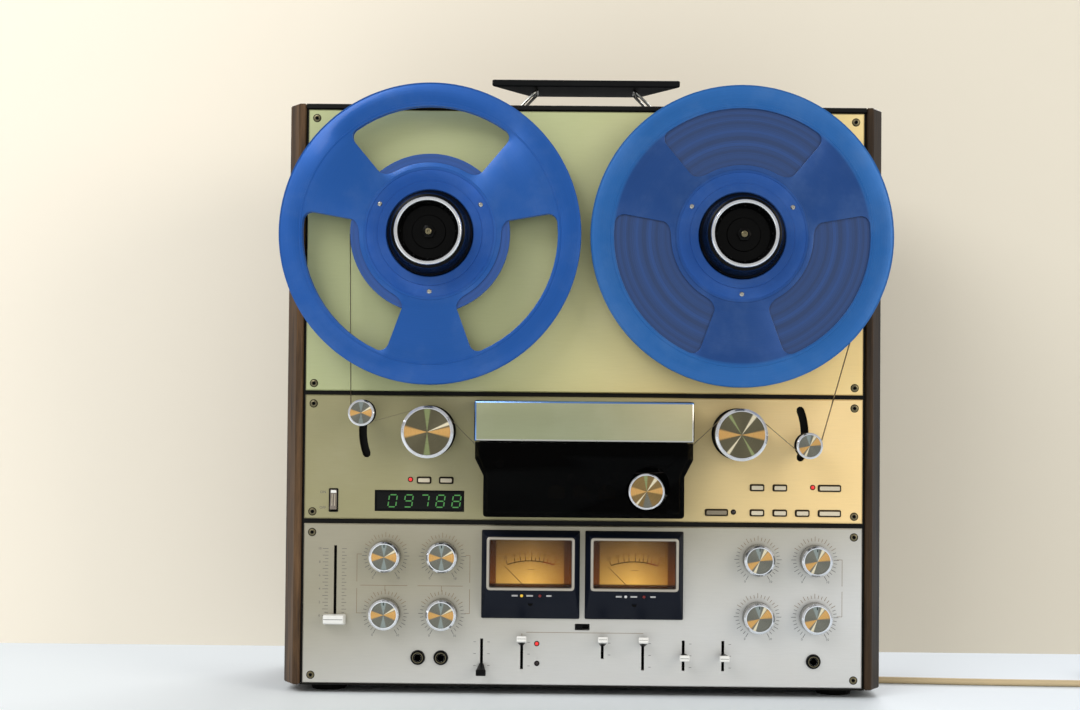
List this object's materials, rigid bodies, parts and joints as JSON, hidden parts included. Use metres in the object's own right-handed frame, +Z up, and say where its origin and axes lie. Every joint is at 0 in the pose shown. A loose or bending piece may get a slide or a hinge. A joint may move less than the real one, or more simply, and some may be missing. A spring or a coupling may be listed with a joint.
{
  "type": "reel-to-reel tape deck",
  "caption": "Upright open-reel tape recorder with metal reels, hinged smoked head cover, lit needle meters, knobs, push keys, lever switches, wooden side cheeks, top grip and coiled mains lead",
  "frame": {"origin": "on the table under the middle of the deck's bounding box, the free mains lead left out", "axes": "+Z up, the control front faces -Y, +X to the right hand of someone facing the front"},
  "size_m": [0.8723, 0.2875, 0.5575],
  "materials": {
    "brushed_panel": "bead-blasted and brushed aluminium with bright bevelled edges",
    "black_metal": "satin black paint",
    "black_plastic": "fine-grained black moulding",
    "walnut_cheek": "dark oiled hardwood veneer",
    "blue_reel": "anodised blue aluminium",
    "recording_tape": "dark brown tape wound edge on",
    "bright_metal": "turned face with fine rings",
    "steel": "ground bright steel",
    "smoked_cover": "smoked transparent plastic",
    "rubber": "matt black rubber",
    "meter_bezel": "dark blue-black moulding",
    "white_cap": "silvery white caps",
    "beige_cable": "beige flexible plastic"
  },
  "bodies": {
    "cabinet": {"cabinet_body": "black_metal", "handle_grip": "black_plastic", "head_block": "black_metal", "lead_coil": "beige_cable", "left_cheek": "walnut_cheek", "left_handle_wire": "steel", "lower_panel": "brushed_panel", "mains_lead": "beige_cable", "mains_plug": "beige_cable", "meter_unit": "meter_bezel", "middle_panel": "brushed_panel", "rear_cover": "black_plastic", "right_cheek": "walnut_cheek", "right_handle_wire": "steel", "upper_panel": "brushed_panel"},
    "left_reel_set": {"left_reel": "blue_reel", "left_tape_pack": "recording_tape", "left_hub_adapter": "black_plastic"},
    "left_tape_roller_turning": {"left_tape_roller": "bright_metal"},
    "left_arm": {"left_tension_arm": "steel"},
    "left_guide_roller_turning": {"left_guide_roller": "black_plastic"},
    "right_reel_set": {"right_reel": "blue_reel", "right_tape_pack": "recording_tape", "right_hub_adapter": "black_plastic"},
    "right_tape_roller_turning": {"right_tape_roller": "bright_metal"},
    "right_arm": {"right_tension_arm": "steel"},
    "right_guide_roller_turning": {"right_guide_roller": "black_plastic"},
    "capstan_turning": {"capstan": "steel"},
    "pinch_lever": {"pinch_arm": "steel"},
    "pinch_roller_turning": {"pinch_roller": "rubber"},
    "head_cover_lid": {"head_cover": "smoked_cover"},
    "power_rocker": {"power_switch": "black_plastic"},
    "reset_button_key": {"reset_button": "white_cap"},
    "search_button_key": {"search_button": "white_cap"},
    "rewind_button_key": {"rewind_button": "white_cap"},
    "forward_button_key": {"forward_button": "white_cap"},
    "record_button_key": {"record_button": "white_cap"},
    "pause_button_key": {"pause_button": "white_cap"},
    "back_button_key": {"back_button": "white_cap"},
    "wind_button_key": {"wind_button": "white_cap"},
    "play_button_key": {"play_button": "white_cap"},
    "stop_button_key": {"stop_button": "white_cap"},
    "fader_slider": {"level_fader": "white_cap"},
    "left_inner_lower_knob_turning": {"left_inner_lower_knob": "bright_metal"},
    "left_inner_upper_knob_turning": {"left_inner_upper_knob": "bright_metal"},
    "left_outer_lower_knob_turning": {"left_outer_lower_knob": "bright_metal"},
    "left_outer_upper_knob_turning": {"left_outer_upper_knob": "bright_metal"},
    "right_inner_lower_knob_turning": {"right_inner_lower_knob": "bright_metal"},
    "right_inner_upper_knob_turning": {"right_inner_upper_knob": "bright_metal"},
    "right_outer_lower_knob_turning": {"right_outer_lower_knob": "bright_metal"},
    "right_outer_upper_knob_turning": {"right_outer_upper_knob": "bright_metal"},
    "input_lever_bat": {"input_lever": "black_plastic"},
    "monitor_lever_bat": {"monitor_lever": "black_plastic"},
    "sync_lever_bat": {"sync_lever": "black_plastic"},
    "speed_lever_bat": {"speed_lever": "black_plastic"},
    "equaliser_lever_bat": {"equaliser_lever": "black_plastic"},
    "bias_lever_bat": {"bias_lever": "black_plastic"},
    "slide_switch_slider": {"track_slide_switch": "black_plastic"},
    "left_needle": {"left_meter_needle": "steel"},
    "right_needle": {"right_meter_needle": "steel"}
  },
  "joints": [
    {"name": "left_reel_drive", "type": "hinge", "parent": "cabinet", "child": "left_reel_set", "pos_m": [-0.1374, -0.0621, 0.40965], "axis": [0, 1, 0], "continuous": true},
    {"name": "left_tape_roller_spin", "type": "hinge", "parent": "cabinet", "child": "left_tape_roller_turning", "pos_m": [-0.1374, -0.0621, 0.23498], "axis": [0, 1, 0], "continuous": true},
    {"name": "left_tension_arm_swing", "type": "hinge", "parent": "cabinet", "child": "left_arm", "pos_m": [-0.1374, -0.0621, 0.23498], "axis": [0, 1, 0], "range_deg": [-35.5, 5.5], "stiffness_Nm_per_rad": 0.6, "springref_deg": 2.01},
    {"name": "left_guide_roller_spin", "type": "hinge", "parent": "left_arm", "child": "left_guide_roller_turning", "pos_m": [-0.1957, -0.0621, 0.25115], "axis": [0, 1, 0], "continuous": true},
    {"name": "right_reel_drive", "type": "hinge", "parent": "cabinet", "child": "right_reel_set", "pos_m": [0.1374, -0.0621, 0.40965], "axis": [0, 1, 0], "continuous": true},
    {"name": "right_tape_roller_spin", "type": "hinge", "parent": "cabinet", "child": "right_tape_roller_turning", "pos_m": [0.1374, -0.0621, 0.23498], "axis": [0, 1, 0], "continuous": true},
    {"name": "right_tension_arm_swing", "type": "hinge", "parent": "cabinet", "child": "right_arm", "pos_m": [0.1374, -0.0621, 0.23498], "axis": [0, -1, 0], "range_deg": [-11.3, 29.7], "stiffness_Nm_per_rad": 0.6, "springref_deg": 2.01},
    {"name": "right_guide_roller_spin", "type": "hinge", "parent": "right_arm", "child": "right_guide_roller_turning", "pos_m": [0.1972, -0.0621, 0.22583], "axis": [0, 1, 0], "continuous": true},
    {"name": "capstan_spin", "type": "hinge", "parent": "cabinet", "child": "capstan_turning", "pos_m": [0.06827, -0.0621, 0.20384], "axis": [0, 1, 0], "continuous": true},
    {"name": "pinch_arm_swing", "type": "hinge", "parent": "cabinet", "child": "pinch_lever", "pos_m": [0.0785, -0.0621, 0.1715], "axis": [0, 1, 0], "range_deg": [0, 11]},
    {"name": "pinch_roller_spin", "type": "hinge", "parent": "pinch_lever", "child": "pinch_roller_turning", "pos_m": [0.055, -0.0621, 0.1845], "axis": [0, 1, 0], "continuous": true},
    {"name": "head_cover_hinge", "type": "hinge", "parent": "cabinet", "child": "head_cover_lid", "pos_m": [0, -0.0961, 0.2267], "axis": [-1, 0, 0], "range_deg": [0, 90]},
    {"name": "power_switch_rock", "type": "hinge", "parent": "cabinet", "child": "power_rocker", "pos_m": [-0.22352, -0.0601, 0.17244], "axis": [1, 0, 0], "range_deg": [0, 16]},
    {"name": "reset_button_press", "type": "slide", "parent": "cabinet", "child": "reset_button_key", "axis": [0, 1, 0], "range_m": [0, 0.002], "stiffness_N_per_m": 400},
    {"name": "search_button_press", "type": "slide", "parent": "cabinet", "child": "search_button_key", "axis": [0, 1, 0], "range_m": [0, 0.002], "stiffness_N_per_m": 400},
    {"name": "rewind_button_press", "type": "slide", "parent": "cabinet", "child": "rewind_button_key", "axis": [0, 1, 0], "range_m": [0, 0.002], "stiffness_N_per_m": 400},
    {"name": "forward_button_press", "type": "slide", "parent": "cabinet", "child": "forward_button_key", "axis": [0, 1, 0], "range_m": [0, 0.002], "stiffness_N_per_m": 400},
    {"name": "record_button_press", "type": "slide", "parent": "cabinet", "child": "record_button_key", "axis": [0, 1, 0], "range_m": [0, 0.002], "stiffness_N_per_m": 400},
    {"name": "pause_button_press", "type": "slide", "parent": "cabinet", "child": "pause_button_key", "axis": [0, 1, 0], "range_m": [0, 0.002], "stiffness_N_per_m": 400},
    {"name": "back_button_press", "type": "slide", "parent": "cabinet", "child": "back_button_key", "axis": [0, 1, 0], "range_m": [0, 0.002], "stiffness_N_per_m": 400},
    {"name": "wind_button_press", "type": "slide", "parent": "cabinet", "child": "wind_button_key", "axis": [0, 1, 0], "range_m": [0, 0.002], "stiffness_N_per_m": 400},
    {"name": "play_button_press", "type": "slide", "parent": "cabinet", "child": "play_button_key", "axis": [0, 1, 0], "range_m": [0, 0.002], "stiffness_N_per_m": 400},
    {"name": "stop_button_press", "type": "slide", "parent": "cabinet", "child": "stop_button_key", "axis": [0, 1, 0], "range_m": [0, 0.002], "stiffness_N_per_m": 400},
    {"name": "level_fader_travel", "type": "slide", "parent": "cabinet", "child": "fader_slider", "axis": [0, 0, 1], "range_m": [0, 0.06]},
    {"name": "left_inner_lower_knob_turn", "type": "hinge", "parent": "cabinet", "child": "left_inner_lower_knob_turning", "pos_m": [-0.12532, -0.0621, 0.07191], "axis": [0, 1, 0], "range_deg": [-150, 150]},
    {"name": "left_inner_upper_knob_turn", "type": "hinge", "parent": "cabinet", "child": "left_inner_upper_knob_turning", "pos_m": [-0.12532, -0.0621, 0.123], "axis": [0, 1, 0], "range_deg": [-150, 150]},
    {"name": "left_outer_lower_knob_turn", "type": "hinge", "parent": "cabinet", "child": "left_outer_lower_knob_turning", "pos_m": [-0.17629, -0.0621, 0.07191], "axis": [0, 1, 0], "range_deg": [-150, 150]},
    {"name": "left_outer_upper_knob_turn", "type": "hinge", "parent": "cabinet", "child": "left_outer_upper_knob_turning", "pos_m": [-0.17629, -0.0621, 0.123], "axis": [0, 1, 0], "range_deg": [-150, 150]},
    {"name": "right_inner_lower_knob_turn", "type": "hinge", "parent": "cabinet", "child": "right_inner_lower_knob_turning", "pos_m": [0.15681, -0.0621, 0.07191], "axis": [0, 1, 0], "range_deg": [-150, 150]},
    {"name": "right_inner_upper_knob_turn", "type": "hinge", "parent": "cabinet", "child": "right_inner_upper_knob_turning", "pos_m": [0.15681, -0.0621, 0.123], "axis": [0, 1, 0], "range_deg": [-150, 150]},
    {"name": "right_outer_lower_knob_turn", "type": "hinge", "parent": "cabinet", "child": "right_outer_lower_knob_turning", "pos_m": [0.20777, -0.0621, 0.07191], "axis": [0, 1, 0], "range_deg": [-150, 150]},
    {"name": "right_outer_upper_knob_turn", "type": "hinge", "parent": "cabinet", "child": "right_outer_upper_knob_turning", "pos_m": [0.20777, -0.0621, 0.123], "axis": [0, 1, 0], "range_deg": [-150, 150]},
    {"name": "input_lever_throw", "type": "hinge", "parent": "cabinet", "child": "input_lever_bat", "pos_m": [-0.0895, -0.0351, 0.03664], "axis": [-1, 0, 0], "range_deg": [0, 40]},
    {"name": "monitor_lever_throw", "type": "hinge", "parent": "cabinet", "child": "monitor_lever_bat", "pos_m": [-0.05362, -0.0351, 0.03664], "axis": [-1, 0, 0], "range_deg": [-40, 0]},
    {"name": "sync_lever_throw", "type": "hinge", "parent": "cabinet", "child": "sync_lever_bat", "pos_m": [0.01839, -0.0351, 0.03664], "axis": [-1, 0, 0], "range_deg": [-20, 0]},
    {"name": "speed_lever_throw", "type": "hinge", "parent": "cabinet", "child": "speed_lever_bat", "pos_m": [0.05452, -0.0351, 0.03664], "axis": [-1, 0, 0], "range_deg": [-40, 0]},
    {"name": "equaliser_lever_throw", "type": "hinge", "parent": "cabinet", "child": "equaliser_lever_bat", "pos_m": [0.0907, -0.0351, 0.03664], "axis": [-1, 0, 0], "range_deg": [-20, 20]},
    {"name": "bias_lever_throw", "type": "hinge", "parent": "cabinet", "child": "bias_lever_bat", "pos_m": [0.12602, -0.0351, 0.03664], "axis": [-1, 0, 0], "range_deg": [-20, 20]},
    {"name": "track_slide_switch_travel", "type": "slide", "parent": "cabinet", "child": "slide_switch_slider", "axis": [1, 0, 0], "range_m": [0, 0.0052]},
    {"name": "left_meter_needle_swing", "type": "hinge", "parent": "cabinet", "child": "left_needle", "pos_m": [-0.04625, -0.0621, 0.0924], "axis": [0, 1, 0], "range_deg": [0, 90], "stiffness_Nm_per_rad": 0.0004},
    {"name": "right_meter_needle_swing", "type": "hinge", "parent": "cabinet", "child": "right_needle", "pos_m": [0.04625, -0.0621, 0.0924], "axis": [0, 1, 0], "range_deg": [0, 90], "stiffness_Nm_per_rad": 0.0004}
  ]
}
